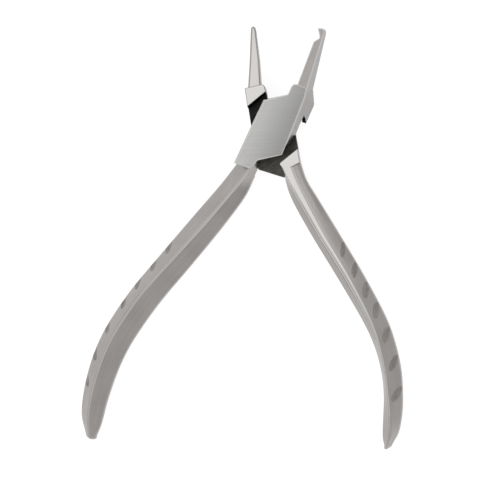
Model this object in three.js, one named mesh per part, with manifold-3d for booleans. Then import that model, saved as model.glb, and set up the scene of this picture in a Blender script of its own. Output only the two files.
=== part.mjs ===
// Lap-joint pliers for jewellery work: two crossed steel levers turning on one flush rivet.
// The front lever ends in a small hooked jaw, the rear lever in a straight tapered jaw.
//
// Units are millimetres, +Z up. The tool lies flat with its rear faces on z = 0, the pivot on the
// Z axis and the jaws towards +Y, with the handles spread. Each lever is drawn in a frame of its own,
// as the closed tool has it: u to the right, v from the pivot towards the jaw tips, z up. The lever's
// group then turns that frame to its open place.
import * as THREE from 'three';
import { mergeVertices } from 'three/addons/utils/BufferGeometryUtils.js';
import Module from 'manifold-3d';

// Driving dimensions.
const THICK = 10;                // joint, from the rear face to the front face
const LAP = THICK / 2;           // height of the plane where the two plates meet
const LAP_GAP = 0.05;            // each plate stands this far off that plane
const FRONT_TURN = -24.5;        // degrees about Z, the front lever's v axis from +Y
const REAR_TURN = 10.4;          // degrees about Z, the rear lever's v axis from +Y
const REAR_LEAN = 0.15;          // the rear lever's head leans this far to -u per mm of depth
const RIVET_RADIUS = 2.4;        // shank
const RIVET_HEAD_RADIUS = 3.3;   // flush countersunk ends
const RIVET_HEAD_DEPTH = 1.2;
const RIVET_PLAY = 0.12;         // radial play round the rivet
const HOLE_END = -0.1;           // the rivet's hole is cut from this far outside each face
const SHOULDER_SLOPE = 0.36;     // the front lever's upper shoulder drops this far per mm of depth
const HANDLE_FRONT = 9.5;        // height of a handle's ridge where it leaves the head
const HANDLE_TIP_FRONT = 8.7;    // and at its tip
const HANDLE_EDGE = 0.8;         // half height of the flat along a handle's side
const RIDGE_LAND = 0.35;         // half width of the flat along a handle's ridge
const HANDLE_STEPS = 44;
const FRONT_NOTCHES = [-47.2, -54.3, -61.9, -69.0, -78.3, -87.8, -96.6];  // v of each grip notch
const REAR_NOTCHES = [-41.2, -47.9, -54.7, -61.5, -69.4, -78.4, -88.0];
const NOTCH_SIZE = [3.1, 1.15, 0.55];  // half length, half width and half depth
const NOTCH_SLANT = 38;          // degrees between a notch and the handle's run
const NOTCH_LIFT = 0.15;         // height of a notch's centre above the facet
const FAR = 40;                  // beyond any part of the tool, for cutting solids

const wasm = await Module();
wasm.setup();

// A closed manifold-3d solid from a three.js geometry whose shared vertices are merged.
function solid(geometry) {
  const bare = geometry.index ? geometry.toNonIndexed() : geometry.clone();
  bare.deleteAttribute('normal');
  bare.deleteAttribute('uv');
  const merged = mergeVertices(bare, 1e-4);
  return new wasm.Manifold(new wasm.Mesh({
    numProp: 3,
    vertProperties: new Float32Array(merged.attributes.position.array),
    triVerts: new Uint32Array(merged.index.array),
  }));
}

function meshOf(name, body, colour, roughness) {
  const { vertProperties, triVerts } = body.getMesh();
  const geometry = new THREE.BufferGeometry();
  geometry.setAttribute('position', new THREE.BufferAttribute(new Float32Array(vertProperties), 3));
  geometry.setIndex(new THREE.BufferAttribute(new Uint32Array(triVerts), 1));
  const material = new THREE.MeshStandardMaterial({ color: colour, roughness, metalness: 1 });
  const mesh = new THREE.Mesh(geometry, material);
  mesh.name = name;
  return mesh;
}

// Moves every vertex of a geometry by move(vector).
function reshape(geometry, move) {
  const place = geometry.attributes.position;
  const point = new THREE.Vector3();
  for (let i = 0; i < place.count; i += 1) {
    point.fromBufferAttribute(place, i);
    move(point);
    place.setXYZ(i, point.x, point.y, point.z);
  }
  return geometry;
}

// A straight-sided block over an outline of [u, v] points, from one height to another.
function prism(outline, low, high) {
  const shape = new THREE.Shape(outline.map(([u, v]) => new THREE.Vector2(u, v)));
  const geometry = new THREE.ExtrudeGeometry(shape, { depth: high - low, bevelEnabled: false });
  return geometry.translate(0, 0, low);
}

// A skin through rings of the same number of points, closed by a flat end at each side. The rings run
// counter-clockwise as seen from the last ring.
function loft(rings) {
  const around = rings[0].length;
  const points = rings.flat();
  const faces = [];
  for (let ring = 0; ring < rings.length - 1; ring += 1) {
    for (let i = 0; i < around; i += 1) {
      const a = ring * around + i;
      const b = ring * around + ((i + 1) % around);
      faces.push(a, b, b + around, a, b + around, a + around);
    }
  }
  const last = (rings.length - 1) * around;
  for (const [a, b, c] of endFaces(rings[0])) faces.push(c, b, a);
  for (const [a, b, c] of endFaces(rings[rings.length - 1])) faces.push(last + a, last + b, last + c);
  const geometry = new THREE.BufferGeometry().setFromPoints(points);
  geometry.setIndex(faces);
  return geometry;
}

// Triangles over one ring, as it looks along the axis that it is flattest in.
function endFaces(ring) {
  const size = new THREE.Box3().setFromPoints(ring).getSize(new THREE.Vector3());
  const flat = size.z < size.y
    ? ring.map((p) => new THREE.Vector2(p.x, p.y))
    : ring.map((p) => new THREE.Vector2(p.x, p.z));
  return THREE.ShapeUtils.triangulateShape(flat, []);
}

const ring = (outline, height) => outline.map(([u, v]) => new THREE.Vector3(u, v, height));
const spline = (points) => new THREE.SplineCurve(points.map(([u, v]) => new THREE.Vector2(u, v)));

// A jaw drawn as an outline, whose thickness narrows evenly from its root to its tip.
function jaw(outline, rootV, tipV, rootHalf, tipHalf) {
  return reshape(prism(outline, -1, 1), (p) => {
    const share = Math.max(0, (p.y - rootV) / (tipV - rootV));
    p.z = LAP + p.z * THREE.MathUtils.lerp(rootHalf, tipHalf, share);
  });
}

// The heights of a handle's ridge at a share of its length.
const ridgeHeight = (share) => THREE.MathUtils.lerp(HANDLE_FRONT, HANDLE_TIP_FRONT, share);

// A handle as a six-sided bar drawn along three rails: its two side edges and the ridge between them,
// which runs along the front and again along the back. left and right are as the tool is seen.
function handle({ left, ridge, right }) {
  const rings = [];
  for (let step = 0; step <= HANDLE_STEPS; step += 1) {
    const share = step / HANDLE_STEPS;
    const [l, m, r] = [left, ridge, right].map((rail) => rail.getPoint(share));
    const top = ridgeHeight(share);
    const land = Math.min(RIDGE_LAND, (r.x - l.x) / 6);
    rings.push([
      new THREE.Vector3(l.x, l.y, LAP + HANDLE_EDGE),
      new THREE.Vector3(l.x, l.y, LAP - HANDLE_EDGE),
      new THREE.Vector3(m.x - land, m.y, THICK - top),
      new THREE.Vector3(m.x + land, m.y, THICK - top),
      new THREE.Vector3(r.x, r.y, LAP - HANDLE_EDGE),
      new THREE.Vector3(r.x, r.y, LAP + HANDLE_EDGE),
      new THREE.Vector3(m.x + land, m.y, top),
      new THREE.Vector3(m.x - land, m.y, top),
    ]);
  }
  return solid(loft(rings));
}

// The share of a rail at which it reaches the place v along the lever.
function shareAt(rail, v) {
  let [before, after] = [0, 1];
  for (let step = 0; step < 20; step += 1) {
    const middle = (before + after) / 2;
    if (rail.getPoint(middle).y > v) before = middle; else after = middle;
  }
  return before;
}

// The grip notches: shallow lens-shaped cuts slanting over the handle's outer facets, front and back, at
// the given places. climb says how far up the facet their centres lie, from side edge to ridge.
function notches(outer, ridge, places, climb) {
  const cuts = [];
  for (const v of places) {
    const share = shareAt(outer, v);
    const edge = outer.getPoint(share);
    const crest = ridge.getPoint(share);
    const low = new THREE.Vector3(edge.x, edge.y, LAP + HANDLE_EDGE);
    const high = new THREE.Vector3(crest.x, crest.y, ridgeHeight(share));
    const along = new THREE.Vector3(outer.getTangent(share).x, outer.getTangent(share).y, 0);
    const normal = new THREE.Vector3().crossVectors(high.clone().sub(low), along).normalize();
    if (normal.z < 0) normal.negate();
    const rise = new THREE.Vector3().crossVectors(normal, along).normalize();
    if (rise.z < 0) rise.negate();
    const slant = THREE.MathUtils.degToRad(NOTCH_SLANT);
    const long = along.clone().negate().multiplyScalar(Math.cos(slant))
      .addScaledVector(rise, -Math.sin(slant));
    const across = new THREE.Vector3().crossVectors(normal, long);
    const lens = new THREE.SphereGeometry(1, 12, 8).scale(...NOTCH_SIZE);
    lens.applyMatrix4(new THREE.Matrix4().makeBasis(long, across, normal));
    const centre = low.lerp(high, climb).addScaledVector(normal, NOTCH_LIFT);
    lens.translate(centre.x, centre.y, centre.z);
    const front = solid(lens);
    cuts.push(front, front.mirror([0, 0, 1]).translate([0, 0, THICK]));
  }
  return wasm.Manifold.union(cuts);
}

// The rivet's body from one end height to the same depth at the other face, grown by play all round.
// An end height below 0 gives the cutting solid for the rivet's countersunk hole.
function rivetSolid(play, end) {
  const flare = (RIVET_HEAD_RADIUS - RIVET_RADIUS) * (1 - end / RIVET_HEAD_DEPTH);
  const outline = [
    [0, end],
    [RIVET_RADIUS + flare + play, end],
    [RIVET_RADIUS + play, RIVET_HEAD_DEPTH],
    [RIVET_RADIUS + play, THICK - RIVET_HEAD_DEPTH],
    [RIVET_RADIUS + flare + play, THICK - end],
    [0, THICK - end],
  ].map(([radius, height]) => new THREE.Vector2(radius, height));
  return solid(new THREE.LatheGeometry(outline, 32).rotateX(Math.PI / 2));
}

// Front lever: the plate on top of the joint, the handle to the lower left and the hooked jaw.
function frontLever() {
  const face = [
    [-6.3, 6.8], [-6.6, -14.6], [-1.35, -14.6], [-0.12, -11.1], [6.3, -6.5], [6.15, -2.6],
    [6.05, -0.9], [5.95, 0.7], [5.7, 6.9], [5.42, 12.2], [4.9, 15.6], [1.8, 15.6], [0.5, 15.1],
    [0.12, 14.2], [0.12, 11.4],
  ];
  // Under the face its right side slopes out, and round the pivot it follows the rear plate's boss. Its
  // lower left corner is drawn in, so that no thin wall is left below the plate.
  const under = face.map(([u, v]) => [u, v]);
  under[1] = [-6.6, -13.2];
  [[4.5, -4.5], [5.9, -2.6], [6.5, -0.9], [7.2, 0.7], [7.25, 6.9], [7.25, 11.4]]
    .forEach((point, i) => { under[4 + i] = point; });
  const head = solid(loft([ring(under, 0), ring(under, LAP), ring(face, THICK)]));
  const hook = solid(jaw([
    [1.7, 14], [0.25, 29.5], [1.35, 31.2], [1.05, 32], [0.1, 33.1], [-0.45, 33.85], [0.8, 34.35],
    [1.6, 34.15], [2.05, 33.4], [2.75, 29], [4.75, 16.2], [5.1, 14],
  ], 15.6, 34, 4.9, 1.7));
  const rails = {
    left: spline([[-6.0, -12], [-7.2, -17.5], [-8.9, -24], [-12.6, -36], [-16.8, -50], [-20.9, -64],
      [-23.1, -75], [-23.9, -83], [-23.6, -91], [-22.0, -100], [-19.6, -107.3], [-14.9, -113.4]]),
    ridge: spline([[-0.9, -12], [-2.1, -17.5], [-4.0, -24], [-7.6, -36], [-12.3, -50], [-16.8, -64],
      [-19.1, -75], [-19.9, -83], [-19.7, -91], [-18.5, -100], [-16.5, -107.3], [-13.6, -113.7]]),
    right: spline([[0.0, -12], [0.1, -17.5], [-0.15, -24], [-2.9, -36], [-6.8, -50], [-10.9, -64],
      [-13.3, -75], [-14.4, -83], [-14.5, -91], [-13.7, -100], [-12.5, -107.3], [-12.2, -112.7]]),
  };
  const grip = handle(rails).subtract(notches(rails.left, rails.ridge, FRONT_NOTCHES, 0.07));
  // Room behind the plate for the rear plate. Its upper shoulder slopes down towards the back.
  const lowerShoulder = -17;
  const room = reshape(prism([
    [-FAR, FAR], [-FAR, 4], [-6.6, -13.2], [-0.15, -16.4], [0.6, lowerShoulder], [FAR, lowerShoulder],
    [FAR, -14.2], [0.1, 11.4],
  ], -1, LAP + LAP_GAP), (p) => {
    if (p.x > 0 && p.y > lowerShoulder) p.y -= SHOULDER_SLOPE * Math.max(0, LAP - p.z);
  });
  return wasm.Manifold.union([head, hook, grip]).subtract(solid(room))
    .subtract(rivetSolid(RIVET_PLAY, HOLE_END));
}

// Rear lever: the plate under the joint, the handle to the lower right and the straight jaw.
function rearLever() {
  const lean = (p) => { p.x -= REAR_LEAN * (THICK - p.z); };
  const head = solid(reshape(prism([
    [-6.5, 13.8], [-6.7, 8], [-7.0, -11.6], [0.05, -15.3], [2.3, -16.2], [3.3, -13.2], [6.6, -12.2],
    [6.65, 5.6], [-0.12, 9.3], [-0.12, 12.9], [-0.4, 13.7], [-1.0, 14.0],
  ], 0, THICK), lean));
  const needle = solid(reshape(jaw([
    [-5.6, 13.2], [-1.4, 13.2], [-0.4, 22], [0.15, 31], [0.05, 32.1], [-0.4, 32.6], [-1.3, 32.3],
    [-1.6, 31], [-3.5, 22],
  ], 14, 32, 4.3, 1.3), lean));
  const rails = {
    left: spline([[0.4, -11.5], [0.3, -17.5], [1.5, -24], [5.7, -36], [11.2, -50], [16.4, -64],
      [18.7, -73], [19.3, -81], [18.7, -88], [17.4, -94], [16.1, -100], [16.1, -104.2]]),
    ridge: spline([[0.9, -11.5], [2.8, -17.5], [5.2, -24], [9.5, -36], [15.0, -50], [19.4, -64],
      [20.8, -73], [21.0, -81], [20.6, -88], [20.0, -94], [18.8, -100], [16.9, -104.5]]),
    right: spline([[5.8, -11.5], [6.7, -17.5], [9.2, -24], [13.9, -36], [19.2, -50], [23.7, -64],
      [25.2, -73], [25.55, -81], [24.7, -88], [23.4, -94], [21.3, -99.7], [18.8, -104.2]]),
  };
  const grip = handle(rails).subtract(notches(rails.right, rails.ridge, REAR_NOTCHES, 0.4));
  // Room in front of the plate for the front plate, between an upper and a lower shoulder.
  const room = solid(prism([
    [-FAR, -8.9], [-FAR, -FAR], [0.2, -FAR], [0.2, -11.2], [6.65, -7.8], [FAR, 9.9], [FAR, FAR],
    [-0.05, FAR], [-0.05, 11.6], [-6.5, 8.1],
  ], LAP - LAP_GAP, THICK + 1));
  return wasm.Manifold.union([head, needle, grip]).subtract(room)
    .subtract(rivetSolid(RIVET_PLAY, HOLE_END));
}

// One lever's meshes in a group turned to the lever's open place.
function turned(degrees, ...meshes) {
  const group = new THREE.Group();
  group.rotation.z = THREE.MathUtils.degToRad(degrees);
  group.add(...meshes);
  return group;
}

const pliers = new THREE.Group();
pliers.add(
  turned(FRONT_TURN, meshOf('front_lever', frontLever(), 0xa8a6a2, 0.42)),
  turned(REAR_TURN, meshOf('rear_lever', rearLever(), 0xaeaca8, 0.4)),
  turned(0, meshOf('pivot_rivet', rivetSolid(0, 0), 0xb4b2ae, 0.35)),
);

export default pliers;
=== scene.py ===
import math

import bpy
import numpy as np
from mathutils import Matrix, Vector


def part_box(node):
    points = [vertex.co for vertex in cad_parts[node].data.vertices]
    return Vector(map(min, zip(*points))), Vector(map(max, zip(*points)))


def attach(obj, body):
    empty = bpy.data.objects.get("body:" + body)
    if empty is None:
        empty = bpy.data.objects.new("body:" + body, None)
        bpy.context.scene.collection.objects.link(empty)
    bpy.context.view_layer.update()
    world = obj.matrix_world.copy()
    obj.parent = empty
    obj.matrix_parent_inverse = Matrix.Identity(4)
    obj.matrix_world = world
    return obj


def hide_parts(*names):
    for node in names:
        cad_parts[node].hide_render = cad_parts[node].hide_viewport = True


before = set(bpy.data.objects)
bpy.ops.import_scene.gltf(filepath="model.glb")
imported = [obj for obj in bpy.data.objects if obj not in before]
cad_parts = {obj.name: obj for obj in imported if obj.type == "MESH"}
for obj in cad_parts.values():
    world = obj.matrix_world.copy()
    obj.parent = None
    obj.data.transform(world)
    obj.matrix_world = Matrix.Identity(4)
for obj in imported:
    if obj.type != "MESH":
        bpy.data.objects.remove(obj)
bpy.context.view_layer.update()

MM = 0.001

# Sizes that the frame gives.
LEVER_LOW, LEVER_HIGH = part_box("rear_lever")
RIVET_LOW, RIVET_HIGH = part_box("pivot_rivet")
THICK = (LEVER_HIGH.z - LEVER_LOW.z) / MM
LAP = THICK / 2
RIVET_END_RADIUS = (RIVET_HIGH.x - RIVET_LOW.x) / MM / 2

# Sizes that the solid model has inside, in millimetres and degrees.
LAP_GAP = 0.05
FRONT_TURN = -24.5
REAR_TURN = 10.4
REAR_LEAN = 0.15
RIVET_RADIUS = 2.4
RIVET_SLOPE_DEPTH = 1.2
RIVET_PLAY = 0.06
HANDLE_EDGE = 0.8
HANDLE_SIDE_RADIUS = 0.9
RIDGE_RADIUS = 0.6
PLATE_RIM = 0.3
FRONT_NOTCHES = (-47.2, -54.3, -61.9, -69.0, -78.3, -87.8, -96.6)
REAR_NOTCHES = (-41.2, -47.9, -54.7, -61.5, -69.4, -78.4, -88.0)
NOTCH_SIZE = (3.1, 1.15, 0.55)
NOTCH_SLANT = 38      # degrees between a notch and the handle's run
NOTCH_LIFT = 0.15
FAR = 40

# How finely the shapes are cut.
CORNER_STEPS = 5
RIM_STEPS = 4
RING_SPACING = 0.45
SIDE_SHARES = (0.05, 0.15, 0.27, 0.37, 0.6, 0.87)    # where each side of a handle's section is cut
SIDE = CORNER_STEPS + 1                              # the first step of a side, after its corner's arc
ROUND_STEPS = 72

# Material slots, the same on both levers. Besides the plain satin steel they carry painted light and
# shade: a lighter face with a painted falloff, polish with a painted highlight, painted shade in recesses
# and notches, a painted highlight falloff, and painted shade on the flanks.
SATIN, LIT_FACE, POLISH_HIGHLIGHT, RECESS_SHADE, NOTCH_SHADE, HIGHLIGHT_FALLOFF, SHADED_FLANK = range(7)


# ---------------------------------------------------------------- outlines

def grown(outline, amount):
    """A counter-clockwise outline moved outwards by amount, or inwards where amount is below 0."""
    edges = np.roll(outline, -1, axis=0) - outline
    lengths = np.linalg.norm(edges, axis=1, keepdims=True)
    normals = np.stack([edges[:, 1], -edges[:, 0]], axis=1) / np.maximum(lengths, 1e-9)
    total = normals + np.roll(normals, 1, axis=0)
    share = np.maximum((total * total).sum(axis=1, keepdims=True) / 2, 0.2)
    return outline + amount * total / share


def rounded(corners, inset=0.0, steps=CORNER_STEPS):
    """The outline of counter-clockwise (u, v, radius) corners, moved inwards by inset.

    Each corner becomes an arc of steps + 1 points, so every inset has the same number of points.
    """
    corners = np.array(corners, float)
    sharp = corners[:, :2]
    before, after = sharp - np.roll(sharp, 1, axis=0), np.roll(sharp, -1, axis=0) - sharp
    turning = np.sign(before[:, 0] * after[:, 1] - before[:, 1] * after[:, 0])
    moved = grown(sharp, -inset)
    points = []
    for i, here in enumerate(moved):
        radius = max(corners[i, 2] - inset * turning[i], 0.03)
        back, ahead = moved[i - 1] - here, moved[(i + 1) % len(moved)] - here
        back_length, ahead_length = np.linalg.norm(back), np.linalg.norm(ahead)
        back, ahead = back / back_length, ahead / ahead_length
        half = math.acos(np.clip(back @ ahead, -1, 1)) / 2
        reach = min(radius / math.tan(half), 0.46 * back_length, 0.46 * ahead_length)
        for step in range(steps + 1):
            t = step / steps
            points.append((1 - t) ** 2 * (here + back * reach) + 2 * t * (1 - t) * here
                          + t ** 2 * (here + ahead * reach))
    return np.array(points)


def level(outline, height):
    """An outline as a ring of points at one height."""
    return np.column_stack([outline, np.full(len(outline), float(height))])


def spline(points, count):
    """count points, evenly shared, on a Catmull-Rom curve through the given points."""
    points = np.array(points, float)
    padded = np.vstack([2 * points[0] - points[1], points, 2 * points[-1] - points[-2]])
    places = np.linspace(0, len(points) - 1, count)
    index = np.minimum(places.astype(int), len(points) - 2)
    t = (places - index)[:, None]
    a, b, c, d = (padded[index + k] for k in range(4))
    return 0.5 * (2 * b + (c - a) * t + (2 * a - 5 * b + 4 * c - d) * t ** 2
                  + (3 * b - a - 3 * c + d) * t ** 3)


# ---------------------------------------------------------------- solids

def skin(rings, side=SATIN, top=None, bottom=None, sides=None):
    """A closed mesh object through rings of as many points each, with a flat face over each end.

    side, top and bottom are material slots. sides may give a slot for each gap between rings.
    """
    around = len(rings[0])
    faces, slots = [], []
    for ring in range(len(rings) - 1):
        for i in range(around):
            a = ring * around + i
            b = ring * around + (i + 1) % around
            faces.append((a, b, b + around, a + around))
            slots.append(sides[ring] if sides else side)
    last = (len(rings) - 1) * around
    faces.append(tuple(range(around - 1, -1, -1)))
    faces.append(tuple(range(last, last + around)))
    slots += [side if bottom is None else bottom, side if top is None else top]
    mesh = bpy.data.meshes.new("skin")
    mesh.from_pydata(np.vstack(rings).tolist(), [], faces)
    for material in STEELS:
        mesh.materials.append(material)
    mesh.polygons.foreach_set("material_index", slots)
    mesh.update()
    piece = bpy.data.objects.new("skin", mesh)
    bpy.context.scene.collection.objects.link(piece)
    return piece


def settle(piece):
    """Applies every modifier of piece."""
    shape = piece.evaluated_get(bpy.context.evaluated_depsgraph_get())
    mesh = bpy.data.meshes.new_from_object(shape)
    piece.modifiers.clear()
    piece.data = mesh


def combine(piece, operation, others):
    """Joins each of the others to piece, or cuts it from piece, and removes them."""
    for other in others:
        step = piece.modifiers.new("step", "BOOLEAN")
        step.operation = operation
        step.solver = "MANIFOLD"
        step.object = other
        settle(piece)
        bpy.data.objects.remove(other)


def rim(edge, steps=RIM_STEPS):
    """(inset, depth) pairs that round a rim by the radius edge, from the face outwards."""
    angles = [math.pi / 2 * step / steps for step in range(steps + 1)]
    return [(edge * (1 - math.sin(angle)), edge * (1 - math.cos(angle))) for angle in angles]


def slab(corners_at, low, high, edge):
    """Rings of a slab from low to high with rounded rims. corners_at(z) gives its corners."""
    rings = [level(rounded(corners_at(low + depth), inset), low + depth) for inset, depth in rim(edge)]
    rings += [level(rounded(corners_at(high - depth), inset), high - depth)
              for inset, depth in reversed(rim(edge))]
    return rings


def rimmed(rings, top):
    """The skin of a slab: its sides take the darker flank tone as painted shade, and its upper rim a
    painted highlight.
    """
    return skin(rings, SHADED_FLANK, top, SATIN, [SHADED_FLANK] * (len(rings) - 1 - RIM_STEPS) + [POLISH_HIGHLIGHT] * RIM_STEPS)


def jaw(corners, lengths, halves, edge):
    """Rings of a jaw over (u, v, radius) corners. Its half thickness follows v by lengths and halves."""
    rings = []
    for side, steps in ((-1, rim(edge)), (1, reversed(rim(edge)))):
        for inset, depth in steps:
            ring = level(rounded(corners, inset), 0)
            ring[:, 2] = LAP + side * (np.interp(ring[:, 1], lengths, halves) - depth)
            rings.append(ring)
    return rings


def leaned(rings):
    """Rings shifted to the left by REAR_LEAN for each millimetre below the front face."""
    for ring in rings:
        ring[:, 0] -= REAR_LEAN * (THICK - ring[:, 2])
    return rings


def hole(low, high, end):
    """A round cutter on the pivot axis, with the rivet's slope where end says it is at the rear."""
    turns = np.linspace(0, 2 * math.pi, ROUND_STEPS, endpoint=False)
    circle = np.column_stack([np.cos(turns), np.sin(turns)])
    slope = (RIVET_END_RADIUS - RIVET_RADIUS) / RIVET_SLOPE_DEPTH
    profile = [(RIVET_RADIUS, low), (RIVET_RADIUS, high)]
    if end:
        profile[0] = (RIVET_END_RADIUS - slope * low, low)
        profile.insert(1, (RIVET_RADIUS, RIVET_SLOPE_DEPTH))
    # The hole's walls take the painted recess shade.
    return skin([level(circle * (radius + RIVET_PLAY), z) for radius, z in profile], RECESS_SHADE)


# ---------------------------------------------------------------- handles

def section(corners, scoop):
    """One ring of a handle from (u, v, z, radius) corners. scoop hollows its two right facets."""
    count = len(corners)
    flat = rounded([(u, z, radius) for u, v, z, radius in corners], 0, CORNER_STEPS)
    ring = []
    for i, (u, v, z, radius) in enumerate(corners):
        next_v = corners[(i + 1) % count][1]
        ring += [[point[0], v, point[1]] for point in flat[i * SIDE:(i + 1) * SIDE]]
        start, end = flat[(i + 1) * SIDE - 1], flat[((i + 1) % count) * SIDE]
        hollow = scoop if i in (3, 5) else 0
        for t in SIDE_SHARES:
            u_here, z_here = start + (end - start) * t
            inward = hollow * 4 * t * (1 - t)
            towards = -1 if z_here > LAP else 1
            ring.append([u_here - 0.6 * inward, v + (next_v - v) * t, z_here + towards * inward])
    return np.array(ring)


def handle(rails, tops, scoops):
    """Rings of a six-sided bar: rails holds its left edge, both sides of its ridge and its right edge.

    tops are the ridge's heights and scoops the depths of the hollow in its right facets, from the head on.
    """
    length = np.linalg.norm(np.diff(np.array(rails["left"]), axis=0), axis=1).sum()
    count = int(length / RING_SPACING)
    left, near, far, right = (spline(rails[key], count) for key in ("left", "near", "far", "right"))
    top = spline([(height, 0) for height in tops], count)[:, 0]
    scoop = np.interp(np.linspace(0, 1, count), np.linspace(0, 1, len(scoops)), scoops)
    rings = []
    for i in range(count):
        corners = [
            (*left[i], LAP + HANDLE_EDGE, HANDLE_SIDE_RADIUS),
            (*left[i], LAP - HANDLE_EDGE, HANDLE_SIDE_RADIUS),
            (*near[i], THICK - top[i], RIDGE_RADIUS),
            (*far[i], THICK - top[i], RIDGE_RADIUS),
            (*right[i], LAP - HANDLE_EDGE, HANDLE_SIDE_RADIUS),
            (*right[i], LAP + HANDLE_EDGE, HANDLE_SIDE_RADIUS),
            (*far[i], top[i], RIDGE_RADIUS),
            (*near[i], top[i], RIDGE_RADIUS),
        ]
        rings.append(section(corners, scoop[i]))
    return rings + end_rings(rings)


def paint_facets(grip, first, last, painted_tone, start, end):
    """Gives a material slot, here a painted highlight or painted shade, to some of the faces round a
    handle, over shares of its length from the head.

    first and last are (corner, step) places round a ring, as section() orders them.
    """
    corner_points = SIDE + len(SIDE_SHARES)
    around = 8 * corner_points
    rings = (len(grip.data.polygons) - 2) // around
    span = range(first[0] * corner_points + first[1], last[0] * corner_points + last[1])
    for ring in range(int(rings * start), int(rings * end)):
        for i in span:
            grip.data.polygons[ring * around + i].material_index = painted_tone


def end_rings(rings, length=1.3, steps=7):
    """Rings that round off the end of a handle."""
    last = rings[-1]
    centre = last.mean(axis=0)
    along = centre - rings[-6].mean(axis=0)
    along /= np.linalg.norm(along)
    angles = [math.pi / 2 * step / (steps + 0.3) for step in range(1, steps + 1)]
    return [centre + (last - centre) * math.cos(angle) ** 0.6 + along * length * math.sin(angle)
            for angle in angles]


def notches(edge_rail, ridge_rail, tops, places, share):
    """Lens-shaped cutters for the grip notches on a handle's outer facets, front and back.

    places are their v, and share says how far up the facet their centres lie.
    """
    count = 400
    edge, ridge = spline(edge_rail, count), spline(ridge_rail, count)
    top = spline([(height, 0) for height in tops], count)[:, 0]
    cutters = []
    for v in places:
        i = int(np.argmin(np.abs(edge[:, 1] - v)))
        low = Vector((*edge[i], LAP + HANDLE_EDGE))
        high = Vector((*ridge[i], top[i]))
        along = Vector((*(edge[i + 1] - edge[i]), 0)).normalized()
        normal = (high - low).cross(along).normalized()
        normal *= math.copysign(1, normal.z)
        climb = normal.cross(along).normalized()
        climb *= math.copysign(1, climb.z)
        slant = math.radians(NOTCH_SLANT)
        long = -along * math.cos(slant) - climb * math.sin(slant)
        across = normal.cross(long)
        centre = low.lerp(high, share) + normal * NOTCH_LIFT
        for side in (1, -1):
            cutters.append(lens(centre, long, across, normal, side))
    return cutters


def lens(centre, long, across, normal, side):
    """One lens-shaped cutter, mirrored to the rear where side is -1."""
    turns = np.linspace(0, 2 * math.pi, 40, endpoint=False)
    basis = np.array([long, across, normal])
    rings = []
    for tilt in np.linspace(-0.5, 0.5, 17)[1:-1] * math.pi:
        circle = np.column_stack([np.cos(turns) * math.cos(tilt), np.sin(turns) * math.cos(tilt),
                                  np.full(len(turns), math.sin(tilt))])
        ring = (circle * NOTCH_SIZE) @ basis + np.array(centre)
        if side < 0:
            ring[:, 2] = THICK - ring[:, 2]
        rings.append(ring)
    corner = np.cross(rings[0][1] - rings[0][0], rings[0][2] - rings[0][1])
    if corner @ (rings[-1].mean(axis=0) - rings[0].mean(axis=0)) < 0:
        rings = [ring[::-1] for ring in rings]
    # The notch walls take the painted notch shade.
    return skin(rings, NOTCH_SHADE)


# ---------------------------------------------------------------- levers

FRONT_RAILS = {
    "left": [(-6.0, -12), (-7.2, -17.5), (-8.9, -24), (-12.6, -36), (-16.8, -50), (-20.9, -64),
             (-23.1, -75), (-23.9, -83), (-23.6, -91), (-22.0, -100), (-19.5, -107.3), (-15.8, -112.3)],
    "near": [(-1.4, -12), (-2.6, -17.5), (-4.5, -24), (-8.1, -36), (-12.8, -50), (-17.2, -64),
             (-19.5, -75), (-20.2, -83), (-20.0, -91), (-18.8, -100), (-16.8, -107.3), (-14.3, -112.3)],
    "far": [(-0.4, -12), (-1.6, -17.5), (-3.5, -24), (-7.1, -36), (-11.8, -50), (-16.4, -64),
            (-18.7, -75), (-19.6, -83), (-19.4, -91), (-18.2, -100), (-16.2, -107.3), (-13.8, -112.2)],
    "right": [(0.0, -12), (0.1, -17.5), (-0.15, -24), (-2.9, -36), (-6.8, -50), (-10.9, -64),
              (-13.3, -75), (-14.4, -83), (-14.5, -91), (-13.7, -100), (-12.5, -107.3), (-12.3, -111.7)],
}
REAR_RAILS = {
    "left": [(0.4, -11.5), (0.3, -17.5), (1.5, -24), (5.7, -36), (11.2, -50), (16.4, -64),
             (18.7, -73), (19.3, -81), (18.7, -88), (17.4, -94), (16.1, -100), (16.1, -103.1)],
    "near": [(0.25, -11.5), (2.2, -17.5), (4.7, -24), (9.1, -36), (14.7, -50), (19.1, -64),
             (20.5, -73), (20.7, -81), (20.3, -88), (19.7, -94), (18.5, -100), (16.8, -103.4)],
    "far": [(3.3, -11.5), (4.5, -17.5), (6.3, -24), (10.1, -36), (15.4, -50), (19.7, -64),
            (21.1, -73), (21.3, -81), (20.9, -88), (20.3, -94), (19.1, -100), (17.1, -103.4)],
    "right": [(5.8, -11.5), (6.7, -17.5), (9.2, -24), (13.9, -36), (19.2, -50), (23.7, -64),
              (25.2, -73), (25.47, -81), (24.65, -88), (23.4, -94), (21.3, -99.6), (18.8, -102.8)],
}
FRONT_TOPS = (9.5, 9.45, 9.4, 9.3, 9.2, 9.1, 9.0, 8.8, 8.4, 7.4)
REAR_TOPS = (10.0, 9.8, 9.5, 9.3, 9.2, 9.1, 9.0, 8.8, 8.4, 7.2)


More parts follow.
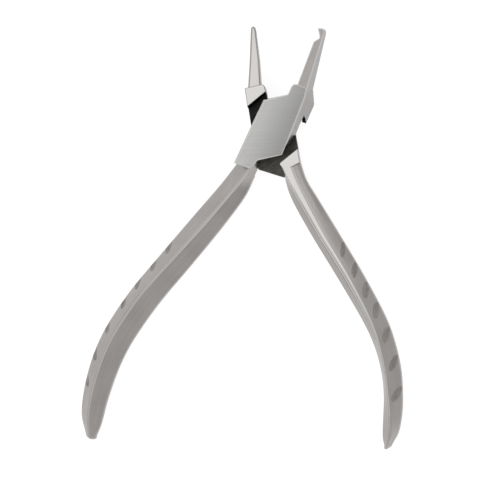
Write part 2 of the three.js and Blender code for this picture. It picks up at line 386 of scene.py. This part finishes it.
def front_corners(z):
    """The front lever's head at height z.

    Under its face the right side slopes out to a boss, and the lower left corner is drawn in.
    """
    face = [
        (-6.3, 6.8, 0.35), (-6.75, -15.1, 0.3), (-1.35, -14.6, 0.15), (-0.12, -11.1, 0.3),
        (6.3, -6.5, 0.4), (6.15, -2.6, 1), (6.05, -0.9, 1), (5.95, 0.7, 1), (5.7, 6.9, 1),
        (5.42, 12.2, 2), (4.9, 15.6, 0.6), (1.8, 15.6, 0.5), (0.5, 15.1, 0.9), (0.12, 14.2, 0.9),
        (0.12, 11.4, 0.8),
    ]
    under = {1: (-6.6, -13.2), 4: (4.5, -4.5), 5: (5.9, -2.6), 6: (6.5, -0.9), 7: (7.2, 0.7),
             8: (7.25, 6.9), 9: (7.25, 11.4)}
    for i in (0, 1):
        face[i] = (face[i][0] + max(0, z - THICK + PLATE_RIM), *face[i][1:])
    share = min(max((z - LAP) / (THICK - LAP), 0), 1)
    for i, (u, v) in under.items():
        top_u, top_v, radius = face[i]
        face[i] = (u + (top_u - u) * share, v + (top_v - v) * share, radius)
    return face


def front_lever():
    """Plate on top of the joint, handle to the lower left, hooked jaw to the upper right."""
    # The plate's face takes the lighter copy with painted light falling off to the right, its sides the
    # painted flank shade, and its front rim the painted highlight.
    lever = rimmed(slab(front_corners, 0, THICK, PLATE_RIM), LIT_FACE)
    hook = [
        (5.1, 14, 0.05), (4.75, 16.2, 3), (2.75, 29, 3), (2.05, 33.4, 0.5), (1.6, 34.15, 0.4),
        (0.8, 34.35, 0.4), (-0.45, 33.85, 0.1), (0.1, 33.1, 0.3), (1.05, 32, 0.3), (1.35, 31.2, 0.3),
        (0.25, 29.5, 0.5), (1.7, 14, 0.05),
    ]
    grip = skin(handle(FRONT_RAILS, FRONT_TOPS, (0, 0)))
    # Painted highlight along the front handle's ridge, over most of its length.
    paint_facets(grip, (6, 1), (6, 4), POLISH_HIGHLIGHT, 0, 0.85)
    combine(lever, "UNION", [
        # The hook's sides take the painted flank shade and its front rim the painted highlight.
        rimmed(jaw(hook, (15.6, 34), (LAP, 1.7), 0.3), SATIN),
        grip,
    ])

    lower_shoulder = -17
    outline = np.array([(-FAR, FAR), (-FAR, 4), (-6.6, -13.2), (-0.15, -16.4), (0.6, lower_shoulder),
                        (FAR, lower_shoulder), (FAR, 6.35), (8, 6.35), (5.9, 7.69), (5.3, 8.07),
                        (0.1, 11.4)], float)
    drop = np.array([0, 0, 0, 0, 0, 0, 1.25, 1.25, 2.8, 1.8, 1.8])
    rings = []
    for height in (-1, 0, LAP, LAP + LAP_GAP):
        ring = level(outline, height)
        ring[:, 1] -= drop * (1 - np.clip(height, 0, LAP) / LAP)
        rings.append(ring)
    blind_end = THICK - 0.4
    # The cut walls and floor of the front lever's room, and the blind hole, take the painted recess shade.
    combine(lever, "DIFFERENCE", [skin(rings, RECESS_SHADE), hole(LAP - 1, blind_end, False)]
            + notches(FRONT_RAILS["left"], FRONT_RAILS["near"], FRONT_TOPS, FRONT_NOTCHES, 0.07))
    return lever


def rear_lever():
    """Plate under the joint, handle to the lower right, straight tapered jaw to the upper left."""
    head = [
        (-6.5, 13.8, 0.25), (-6.7, 8, 1), (-7.0, -11.6, 0.3), (0.05, -15.3, 0.3), (2.3, -16.2, 0.2),
        (3.3, -13.2, 0.4), (6.6, -12.2, 0.3), (6.65, 5.6, 0.4), (-0.12, 9.3, 0.3),
        (-0.12, 12.9, 0.9), (-0.4, 13.7, 0.5), (-1.0, 14.0, 0.5),
    ]
    needle = [
        (-5.6, 13.2, 0.05), (-1.4, 13.2, 0.05), (-0.4, 22, 8), (0.15, 31, 0.6), (0.05, 32.1, 0.4),
        (-0.4, 32.6, 0.3), (-1.3, 32.3, 0.3), (-1.6, 31, 0.6), (-3.5, 22, 8),
    ]
    # The rear head's top face is polished and carries the painted highlight.
    lever = skin(leaned(slab(lambda z: head, 0, THICK, 0.25)), SATIN, POLISH_HIGHLIGHT, SATIN)
    below = np.array([(-FAR, -11.6), (-FAR, -FAR), (FAR, -FAR), (FAR, -12), (6.6, -12.2), (3.3, -13.2),
                      (0.9, -12.6), (0.2, -11.6)], float)
    # The lap floor left by this cut takes the painted recess shade.
    combine(lever, "DIFFERENCE", [
        skin([level(below, LAP - LAP_GAP), level(below, THICK + 1)], SATIN, bottom=RECESS_SHADE)])
    grip = skin(handle(REAR_RAILS, REAR_TOPS, (0.5, 0.5, 0.25, 0, 0, 0, 0, 0)))
    # Painted highlight: the bright band along the rear handle's ridge, over most of its length.
    paint_facets(grip, (6, 2), (7, SIDE), POLISH_HIGHLIGHT, 0, 0.8)
    # Painted highlight falloff between the band and the facet beside it, over the first half of the
    # handle.
    paint_facets(grip, (5, SIDE + len(SIDE_SHARES) - 1), (6, 2), HIGHLIGHT_FALLOFF, 0, 0.5)
    # Thin painted lines along the ridge: painted shade, painted highlight, painted shade.
    for start, painted_tone in enumerate((NOTCH_SHADE, POLISH_HIGHLIGHT, NOTCH_SHADE)):
        paint_facets(grip, (7, SIDE + start), (7, SIDE + start + 1), painted_tone, 0.02, 0.5)
    combine(lever, "UNION", [
        # The needle jaw's front face carries the painted highlight.
        skin(leaned(jaw(needle, (14, 32), (4.3, 1.3), 0.55)), SATIN, POLISH_HIGHLIGHT),
        grip,
    ])

    outline = rounded([(-FAR, -8.9, 0), (-FAR, -FAR, 0), (0.2, -FAR, 0), (0.2, -11.2, 0.7),
                       (6.65, -7.8, 0), (FAR, 9.9, 0), (FAR, FAR, 0), (-0.05, FAR, 0),
                       (-0.05, 11.6, 0.1), (-6.5, 8.1, 0)])
    edge = 0.25
    rings = [level(outline, LAP - LAP_GAP)]
    rings += [level(grown(outline, outset), THICK - depth)
              for outset, depth in ((0, edge), (edge * 0.3, edge * 0.3), (edge, 0), (edge, -1))]
    # The room's walls and floor take the painted recess shade, and its rim chamfer the painted highlight.
    room = skin(rings, RECESS_SHADE, sides=[RECESS_SHADE, POLISH_HIGHLIGHT, POLISH_HIGHLIGHT, RECESS_SHADE])
    combine(lever, "DIFFERENCE", [room, hole(-0.2, LAP + 1, True)]
            + notches(REAR_RAILS["right"], REAR_RAILS["far"], REAR_TOPS, REAR_NOTCHES, 0.4))
    return lever


def rivet():
    """The rivet: countersunk at the rear, and ground away under the front face."""
    turns = np.linspace(0, 2 * math.pi, ROUND_STEPS, endpoint=False)
    circle = np.column_stack([np.cos(turns), np.sin(turns)])
    profile = [(RIVET_END_RADIUS - 0.1, 0), (RIVET_END_RADIUS - 0.03, 0.05),
               (RIVET_RADIUS, RIVET_SLOPE_DEPTH), (RIVET_RADIUS, THICK - 0.8),
               (RIVET_RADIUS - 0.2, THICK - 0.6)]
    return skin([level(circle * radius, height) for radius, height in profile], SATIN)


def mark_grain(piece, rails):
    """Stores where each vertex lies: along and across the lever for the grinding lines, and u, v, z."""
    spine = (np.array(rails["near"]) + np.array(rails["right"])) / 2
    spine = np.vstack([[spine[0, 0], FAR], spline(spine, 160)])
    steps = np.linalg.norm(np.diff(spine, axis=0), axis=1)
    run = np.concatenate([[0], np.cumsum(steps)])
    points = np.empty(len(piece.data.vertices) * 3)
    piece.data.vertices.foreach_get("co", points)
    points = points.reshape(-1, 3)
    best = np.full(len(points), np.inf)
    grain = np.zeros((len(points), 3))
    for i, length in enumerate(steps):
        along = (spine[i + 1] - spine[i]) / length
        offset = points[:, :2] - spine[i]
        reach = np.clip(offset @ along, 0, length)
        gap = np.linalg.norm(offset - reach[:, None] * along, axis=1)
        nearer = gap < best
        best[nearer] = gap[nearer]
        side = offset @ np.array([along[1], -along[0]])
        grain[nearer, 0] = run[i] + reach[nearer]
        grain[nearer, 1] = np.copysign(gap, side)[nearer]
    grain[:, 2] = points[:, 2]
    for name, values in (("grain", grain), ("lever", points)):
        layer = piece.data.attributes.new(name, "FLOAT_VECTOR", "POINT")
        layer.data.foreach_set("vector", values.ravel())


def place(piece, name, turn, rails):
    """Names a piece, turns it to its place in the row frame, in metres, and smooths its shading."""
    mark_grain(piece, rails)
    piece.name = name
    piece.data.transform(Matrix.Rotation(math.radians(turn), 4, "Z") @ Matrix.Scale(MM, 4))
    piece.data.shade_smooth()
    piece.data.set_sharp_from_angle(angle=math.radians(32))
    weigh = piece.modifiers.new("normals", "WEIGHTED_NORMAL")
    weigh.keep_sharp = True
    settle(piece)
    piece.data.name = name
    return piece


# ---------------------------------------------------------------- materials

def steel(name, colour, roughness, grain, spread=0.08, turn=None, lines=(30, 2200), fade=None):
    """Ground steel with fine lines, in the direction turn, or along the lever where turn is None.

    colour is its middle tone, spread how far the tone wanders, grain how deep the lines are, and
    lines how many fit in a metre along and across them. fade=(axis, start, end, share) changes the
    tone evenly along one of the lever's axes, from colour at start to share times that at end.
    """
    material = bpy.data.materials.new(name)
    material.use_nodes = True
    nodes, links = material.node_tree.nodes, material.node_tree.links
    shader = nodes["Principled BSDF"]
    shader.inputs["Metallic"].default_value = 1.0

    if turn is None:
        where = nodes.new("ShaderNodeAttribute")
        where.attribute_name = "grain"
        source, scale, spin = where.outputs["Vector"], MM, 0
    else:
        where = nodes.new("ShaderNodeTexCoord")
        source, scale, spin = where.outputs["Object"], 1, math.radians(-turn)
    turned = nodes.new("ShaderNodeMapping")
    turned.inputs["Rotation"].default_value = (0, 0, spin)
    stretched = nodes.new("ShaderNodeMapping")
    stretched.inputs["Scale"].default_value = (lines[0] * scale, lines[1] * scale, lines[1] * scale)
    links.new(source, turned.inputs["Vector"])
    links.new(turned.outputs["Vector"], stretched.inputs["Vector"])

    fine = nodes.new("ShaderNodeTexNoise")
    fine.inputs["Scale"].default_value = 1.0
    fine.inputs["Detail"].default_value = 5.0
    fine.inputs["Roughness"].default_value = 0.7
    links.new(stretched.outputs["Vector"], fine.inputs["Vector"])
    broad = nodes.new("ShaderNodeTexNoise")
    broad.inputs["Scale"].default_value = 110.0 * scale
    broad.inputs["Detail"].default_value = 4.0
    links.new(source, broad.inputs["Vector"])
    mixed = nodes.new("ShaderNodeMix")
    mixed.inputs["Factor"].default_value = 0.45
    links.new(fine.outputs["Fac"], mixed.inputs["A"])
    links.new(broad.outputs["Fac"], mixed.inputs["B"])

    tones = nodes.new("ShaderNodeValToRGB")
    tones.color_ramp.elements[0].position = 0.3
    tones.color_ramp.elements[1].position = 0.7
    tones.color_ramp.elements[0].color = [c * (1 - spread) for c in colour] + [1]
    tones.color_ramp.elements[1].color = [min(1, c * (1 + spread)) for c in colour] + [1]
    links.new(mixed.outputs["Result"], tones.inputs["Fac"])
    tone = tones.outputs["Color"]
    if fade:
        tone = faded(nodes, links, tone, *fade)
    links.new(tone, shader.inputs["Base Color"])

    gloss = nodes.new("ShaderNodeMapRange")
    gloss.inputs["From Min"].default_value = 0.3
    gloss.inputs["From Max"].default_value = 0.7
    gloss.inputs["To Min"].default_value = roughness - 0.04
    gloss.inputs["To Max"].default_value = roughness + 0.06
    links.new(broad.outputs["Fac"], gloss.inputs["Value"])
    links.new(gloss.outputs["Result"], shader.inputs["Roughness"])

    bump = nodes.new("ShaderNodeBump")
    bump.inputs["Strength"].default_value = grain
    bump.inputs["Distance"].default_value = 0.00003
    links.new(fine.outputs["Fac"], bump.inputs["Height"])
    links.new(bump.outputs["Normal"], shader.inputs["Normal"])
    return material


def faded(nodes, links, tone, axis, start, end, share):
    """The output tone, scaled evenly from 1 at start to share at end along one of the lever's axes."""
    where = nodes.new("ShaderNodeAttribute")
    where.attribute_name = "lever"
    split = nodes.new("ShaderNodeSeparateXYZ")
    amount = nodes.new("ShaderNodeMapRange")
    amount.inputs["From Min"].default_value = start
    amount.inputs["From Max"].default_value = end
    amount.inputs["To Min"].default_value = 1
    amount.inputs["To Max"].default_value = share
    scaled = nodes.new("ShaderNodeVectorMath")
    scaled.operation = "SCALE"
    links.new(where.outputs["Vector"], split.inputs["Vector"])
    links.new(split.outputs[axis], amount.inputs["Value"])
    links.new(tone, scaled.inputs[0])
    links.new(amount.outputs["Result"], scaled.inputs["Scale"])
    return scaled.outputs["Vector"]


# ---------------------------------------------------------------- stage

def set_camera():
    """A long lens, square to the tool's length and 12 degrees round to its right."""
    data = bpy.data.cameras.new("camera")
    camera = bpy.data.objects.new("camera", data)
    bpy.context.scene.collection.objects.link(camera)
    yaw = math.radians(12)
    back = Vector((math.sin(yaw), 0, math.cos(yaw)))
    up = Vector((0, 1, 0))
    right = up.cross(back)
    aim = Vector((-10.33, -34.83, THICK)) * MM
    distance, width = 1.2, 0.1493
    data.sensor_width = 36
    data.lens = data.sensor_width * distance / width
    turn = Matrix((right, up, back)).transposed().to_4x4()
    camera.matrix_world = Matrix.Translation(aim + back * distance) @ turn
    data.clip_start, data.clip_end = 0.01, 20
    bpy.context.scene.camera = camera


def set_light():
    """A white room that is dimmer to the right, and a large soft light above."""
    world = bpy.data.worlds.new("room")
    bpy.context.scene.world = world
    world.use_nodes = True
    nodes, links = world.node_tree.nodes, world.node_tree.links
    where = nodes.new("ShaderNodeTexCoord")
    split = nodes.new("ShaderNodeSeparateXYZ")
    ramp = nodes.new("ShaderNodeValToRGB")
    spread = nodes.new("ShaderNodeMapRange")
    spread.inputs["From Min"].default_value = -1
    spread.inputs["From Max"].default_value = 1
    links.new(where.outputs["Generated"], split.inputs["Vector"])
    links.new(split.outputs["X"], spread.inputs["Value"])
    links.new(spread.outputs["Result"], ramp.inputs["Fac"])
    links.new(ramp.outputs["Color"], nodes["Background"].inputs["Color"])
    for position, tone in ((0.2, 0.78), (0.4, 0.84), (0.55, 0.74), (0.8, 0.62)):
        stop = ramp.color_ramp.elements.new(position)
        stop.color = (tone, tone, tone, 1)
    ramp.color_ramp.elements[0].color = (0.7, 0.7, 0.7, 1)
    ramp.color_ramp.elements[-1].color = (0.66, 0.66, 0.66, 1)
    nodes["Background"].inputs["Strength"].default_value = 1.15

    data = bpy.data.lights.new("overhead", "AREA")
    data.size = 0.7
    data.energy = 0.4
    lamp = bpy.data.objects.new("overhead", data)
    bpy.context.scene.collection.objects.link(lamp)
    lamp.location = (-0.25, 0.05, 0.9)
    lamp.rotation_euler = (-lamp.location).to_track_quat("-Z", "Y").to_euler()


def set_floor():
    """A plain pale floor under the tool."""
    half = 3.0
    mesh = bpy.data.meshes.new("floor")
    mesh.from_pydata([(-half, -half, 0), (half, -half, 0), (half, half, 0), (-half, half, 0)], [],
                     [(0, 1, 2, 3)])
    floor = bpy.data.objects.new("floor", mesh)
    bpy.context.scene.collection.objects.link(floor)
    floor.location.z = -0.0001
    material = bpy.data.materials.new("floor_white")
    material.use_nodes = True
    shader = material.node_tree.nodes["Principled BSDF"]
    shader.inputs["Base Color"].default_value = (0.25, 0.25, 0.25, 1)
    shader.inputs["Roughness"].default_value = 1.0
    shader.inputs["Emission Color"].default_value = (1, 1, 1, 1)
    shader.inputs["Emission Strength"].default_value = 0.87
    mesh.materials.append(material)


# ---------------------------------------------------------------- the tool

set_camera()
set_light()
set_floor()
bpy.context.scene.view_settings.view_transform = "Standard"

STEELS = [
    steel("steel_satin", (0.39, 0.37, 0.36), 0.33, 0.4, spread=0.13),
    # Front face: a lighter copy of the satin steel. Its fade along X is painted light, full at the left
    # and darker to the right.
    steel("steel_lit_face", (0.46, 0.457, 0.447), 0.36, 0.5, spread=0.12, turn=0,
          fade=("X", -4.5, 4.5, 0.66)),
    # Polish with a painted highlight: a raised tone for bright rims, top faces and the ridge bands. Its
    # fade dims the painted highlight down the handle.
    steel("steel_polish_highlight", (0.60, 0.585, 0.57), 0.25, 0.1, spread=0.04, turn=0,
          fade=("Y", -45, -75, 0.68)),
    # Painted shade: near-black for recesses, holes and the lap floor. Its fade lightens it fourfold from v
    # = 2 to v = -13, where the recess opens.
    steel("steel_recess_shade", (0.022, 0.021, 0.019), 0.5, 0.5, spread=0.7, turn=30, lines=(300, 900),
          fade=("Y", 2, -13, 4)),
    # Painted shade in the grip notches and for thin dark lines beside the rear ridge's highlight. Its fine
    # lines are grinding marks.
    steel("steel_notch_shade", (0.28, 0.26, 0.245), 0.42, 0.6, spread=0.4, turn=75, lines=(100, 1800)),
    # Painted highlight falloff: a lighter tone that softens the edge of the rear ridge's painted
    # highlight, fading down the handle.
    steel("steel_highlight_falloff", (0.48, 0.465, 0.45), 0.3, 0.2, spread=0.06, fade=("Y", -20, -50, 0.84)),
    # Sides of plates and jaws: a darker copy of the satin steel, painted shade.
    steel("steel_shaded_flank", (0.315, 0.30, 0.298), 0.35, 0.4, spread=0.12),
]
# Dims the edge reflections of the painted recess shade.
STEELS[RECESS_SHADE].node_tree.nodes["Principled BSDF"].inputs["Specular Tint"].default_value = (0.3, 0.3, 0.3, 1)

pieces = [
    (front_lever, "front_lever_steel", FRONT_TURN, FRONT_RAILS, "front_lever", "front_lever"),
    (rear_lever, "rear_lever_steel", REAR_TURN, REAR_RAILS, "rear_lever", "rear_lever"),
    (rivet, "rivet_steel", 0, FRONT_RAILS, "front_lever", "pivot_rivet"),
]
for make, name, turn, rails, body, node in pieces:
    piece = place(make(), name, turn, rails)
    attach(piece, body)
    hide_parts(node)
